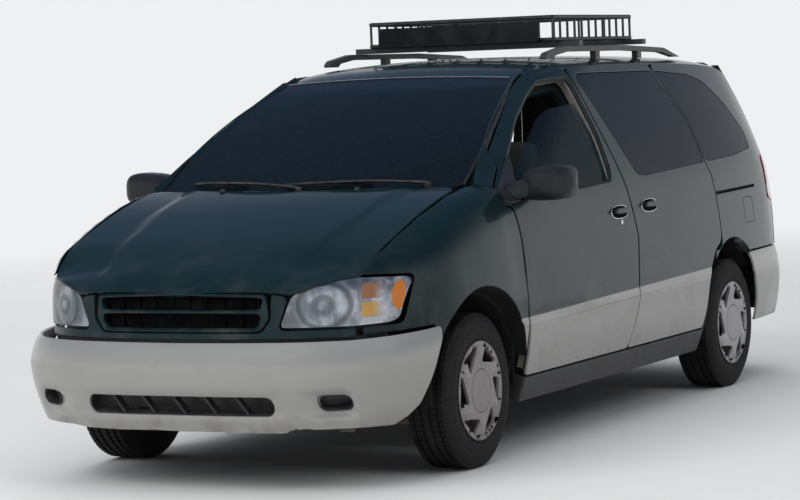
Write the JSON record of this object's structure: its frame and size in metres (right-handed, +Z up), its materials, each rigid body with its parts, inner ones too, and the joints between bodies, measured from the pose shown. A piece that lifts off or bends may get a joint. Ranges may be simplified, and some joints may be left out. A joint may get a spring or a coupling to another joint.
{
  "type": "minivan",
  "caption": "Seven-seat minivan with hinged front doors, sliding side doors, hood, liftgate, steered front wheels, roof rails and a roof basket.",
  "frame": {"origin": "on the ground, at the middle of the vehicle's length and width", "axes": "+X to the vehicle's left, +Y to the rear, +Z up"},
  "size_m": [2.2, 4.9134, 1.867],
  "materials": {
    "body_paint": "dark green metallic, clear coated",
    "lower_paint": "pale beige metallic, clear coated",
    "bumper_paint": "pale beige, painted plastic",
    "black_plastic": "moulded black, grained",
    "grille_plastic": "body colour surround, dark slots",
    "lamp_lens": "clear lens over a reflector",
    "red_lens": "red lens",
    "clear_glass": "clear, slightly green",
    "dark_glass": "dark privacy tint",
    "rubber_tyre": "worn rubber",
    "wheel_cover": "silver painted cover, dusty",
    "steel": "bare steel, dirty",
    "iron": "cast, dirty",
    "underseal": "black underbody coating",
    "cabin_plastic": "grained tan",
    "seat_cloth": "woven beige",
    "rail_grey": "dark grey, satin",
    "basket_steel": "black powder coat"
  },
  "bodies": {
    "root": {"floor": "underseal", "cowl": "black_plastic", "front_frame": "underseal", "engine": "iron", "wheelhouses": "black_plastic", "roof": "body_paint", "side_frame_left": "body_paint", "side_frame_right": "body_paint", "fenders": "body_paint", "nose_panel": "body_paint", "grille": "grille_plastic", "headlamps": "lamp_lens", "tail_lamps": "red_lens", "bumper_front": "bumper_paint", "bumper_rear": "bumper_paint", "windshield": "clear_glass", "sliding_doors": "body_paint", "side_glass": "dark_glass", "roof_rails": "rail_grey", "roof_basket": "basket_steel", "fairing": "black_plastic", "dashboard": "cabin_plastic", "front_seats": "seat_cloth", "middle_seats": "seat_cloth", "rear_seat": "seat_cloth", "lower_arms": "steel", "rear_axle": "steel", "exhaust": "steel", "fuel_tank": "black_plastic", "spare_wheel": "rubber_tyre", "wipers": "black_plastic"},
    "hood": {"hood": "body_paint"},
    "door_left": {"door_left": "body_paint", "door_glass_left": "clear_glass", "mirror_left": "black_plastic"},
    "door_right": {"door_right": "body_paint", "door_glass_right": "clear_glass", "mirror_right": "black_plastic"},
    "liftgate": {"liftgate": "body_paint", "liftgate_glass": "dark_glass"},
    "knuckle_left": {"knuckle_left": "iron"},
    "knuckle_right": {"knuckle_right": "iron"},
    "wheel_front_left": {"wheel_front_left": "wheel_cover", "tyre_front_left": "rubber_tyre"},
    "wheel_front_right": {"wheel_front_right": "wheel_cover", "tyre_front_right": "rubber_tyre"},
    "wheel_rear_left": {"wheel_rear_left": "wheel_cover", "tyre_rear_left": "rubber_tyre"},
    "wheel_rear_right": {"wheel_rear_right": "wheel_cover", "tyre_rear_right": "rubber_tyre"},
    "steering_wheel": {"steering_wheel": "cabin_plastic"}
  },
  "joints": [
    {"name": "hood_hinge", "type": "hinge", "parent": "root", "child": "hood", "pos_m": [0, -1.3, 1.13], "axis": [-1, 0, 0], "range_deg": [0, 50]},
    {"name": "door_left_hinge", "type": "hinge", "parent": "root", "child": "door_left", "pos_m": [0.9276, -1.08, 0.6], "axis": [0.0637, 0.0697, -0.9955], "range_deg": [0, 65]},
    {"name": "door_right_hinge", "type": "hinge", "parent": "root", "child": "door_right", "pos_m": [-0.9276, -1.08, 0.6], "axis": [0.0637, -0.0697, 0.9955], "range_deg": [0, 65]},
    {"name": "liftgate_hinge", "type": "hinge", "parent": "root", "child": "liftgate", "pos_m": [0, 2.03, 1.64], "axis": [1, 0, 0], "range_deg": [0, 80]},
    {"name": "steer_left", "type": "hinge", "parent": "root", "child": "knuckle_left", "pos_m": [0.738, -1.5, 0.19], "axis": [-0.2053, 0.0289, 0.9783], "range_deg": [-33, 33]},
    {"name": "steer_right", "type": "hinge", "parent": "root", "child": "knuckle_right", "pos_m": [-0.738, -1.5, 0.19], "axis": [0.2053, 0.0289, 0.9783], "range_deg": [-33, 33]},
    {"name": "spin_front_left", "type": "hinge", "parent": "knuckle_left", "child": "wheel_front_left", "pos_m": [0.782, -1.5, 0.318], "axis": [1, 0, 0], "continuous": true},
    {"name": "spin_front_right", "type": "hinge", "parent": "knuckle_right", "child": "wheel_front_right", "pos_m": [-0.782, -1.5, 0.318], "axis": [1, 0, 0], "continuous": true},
    {"name": "spin_rear_left", "type": "hinge", "parent": "root", "child": "wheel_rear_left", "pos_m": [0.796, 1.4, 0.318], "axis": [1, 0, 0], "continuous": true},
    {"name": "spin_rear_right", "type": "hinge", "parent": "root", "child": "wheel_rear_right", "pos_m": [-0.796, 1.4, 0.318], "axis": [1, 0, 0], "continuous": true},
    {"name": "steering_column", "type": "hinge", "parent": "root", "child": "steering_wheel", "pos_m": [0.37, -0.7, 0.985], "axis": [0, 0.9, 0.436], "range_deg": [-528, 528]}
  ],
  "couplings": [
    {"joint": "steer_right", "follows": "steer_left", "ratio": 1},
    {"joint": "steering_column", "follows": "steer_left", "ratio": 16}
  ]
}
